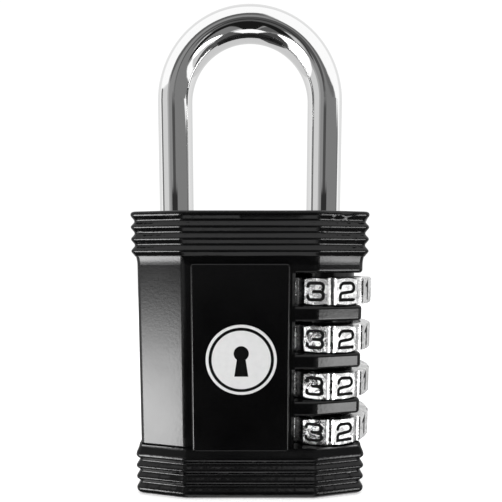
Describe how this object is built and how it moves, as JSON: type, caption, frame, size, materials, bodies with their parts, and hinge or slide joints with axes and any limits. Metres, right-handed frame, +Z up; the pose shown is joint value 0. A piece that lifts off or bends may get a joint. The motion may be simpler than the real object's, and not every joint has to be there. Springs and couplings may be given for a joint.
{
  "type": "combination padlock",
  "caption": "Black bevelled combination padlock with ribbed bands, a polished round-bar shackle and engraved number dials set in windows down one side.",
  "frame": {"origin": "middle of the flat underside, in the plane that holds both shackle legs", "axes": "+Z up along the shackle legs, front face towards -Y, dials at the +X side"},
  "size_m": [0.0447, 0.022, 0.0906],
  "materials": {
    "black_coat": "satin powder coat with fine orange peel",
    "polished_chrome": "polished",
    "dial_chrome": "bright plated",
    "black_enamel": "enamel paint",
    "badge_silver": "satin",
    "sleeve_steel": "turned",
    "plain_steel": "plain",
    "spring_steel": "drawn"
  },
  "bodies": {
    "lock_body": {"body_casting": "black_coat", "badge": "badge_silver", "badge_inlay": "black_enamel", "base_plate": "black_coat", "base_pins": "plain_steel", "lift_spring": "spring_steel", "reset_spring": "spring_steel", "spring_seat": "plain_steel", "thrust_washer": "plain_steel", "detent_spring": "spring_steel"},
    "shackle_group": {"shackle": "polished_chrome", "retaining_clip": "plain_steel"},
    "dial_1": {"dial_ring_1": "dial_chrome", "digit_enamel_1": "black_enamel", "clutch_sleeve_1": "sleeve_steel"},
    "dial_2": {"dial_ring_2": "dial_chrome", "digit_enamel_2": "black_enamel", "clutch_sleeve_2": "sleeve_steel"},
    "dial_3": {"dial_ring_3": "dial_chrome", "digit_enamel_3": "black_enamel", "clutch_sleeve_3": "sleeve_steel"},
    "dial_4": {"dial_ring_4": "dial_chrome", "digit_enamel_4": "black_enamel", "clutch_sleeve_4": "sleeve_steel"}
  },
  "joints": [
    {"name": "shackle_slide", "type": "slide", "parent": "lock_body", "child": "shackle_group", "axis": [0, 0, 1], "range_m": [0, 0.0066], "deforming": ["lift_spring"]},
    {"name": "dial_1_spin", "type": "hinge", "parent": "lock_body", "child": "dial_1", "pos_m": [0.0142, 0, 0.03782], "axis": [0, 0, 1], "continuous": true},
    {"name": "dial_2_spin", "type": "hinge", "parent": "lock_body", "child": "dial_2", "pos_m": [0.0142, 0, 0.02917], "axis": [0, 0, 1], "continuous": true},
    {"name": "dial_3_spin", "type": "hinge", "parent": "lock_body", "child": "dial_3", "pos_m": [0.0142, 0, 0.02052], "axis": [0, 0, 1], "continuous": true},
    {"name": "dial_4_spin", "type": "hinge", "parent": "lock_body", "child": "dial_4", "pos_m": [0.0142, 0, 0.01187], "axis": [0, 0, 1], "continuous": true}
  ]
}
